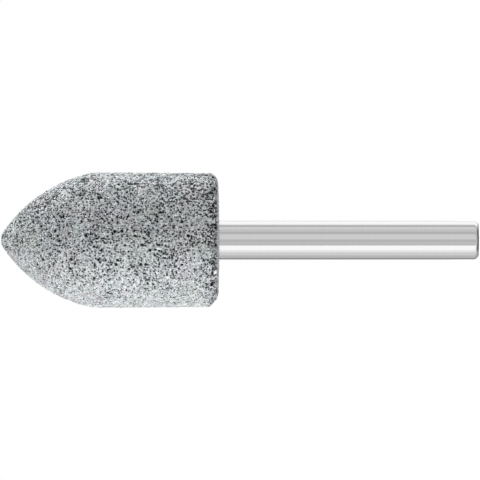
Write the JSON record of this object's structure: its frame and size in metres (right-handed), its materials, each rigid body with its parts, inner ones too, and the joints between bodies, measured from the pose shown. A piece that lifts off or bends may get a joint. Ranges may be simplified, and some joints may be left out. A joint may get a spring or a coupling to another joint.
{
  "type": "mounted point",
  "caption": "Grey bonded abrasive head, a cylinder with a pointed arch tip, cemented on a round polished steel shank for a die grinder.",
  "frame": {"origin": "centre of the flat free end of the shank, on which the part stands", "axes": "+Z along the axis from the shank's free end to the head's tip; -X is the side on which wear has rubbed a flat across the head's rear edge"},
  "size_m": [0.0206, 0.0206, 0.072],
  "materials": {
    "bonded_grit": "matte",
    "ground_steel": "polished",
    "cured_cement": "matte"
  },
  "bodies": {
    "root": {"abrasive_head": "bonded_grit", "shank": "ground_steel", "bonding_cement": "cured_cement"}
  },
  "joints": []
}
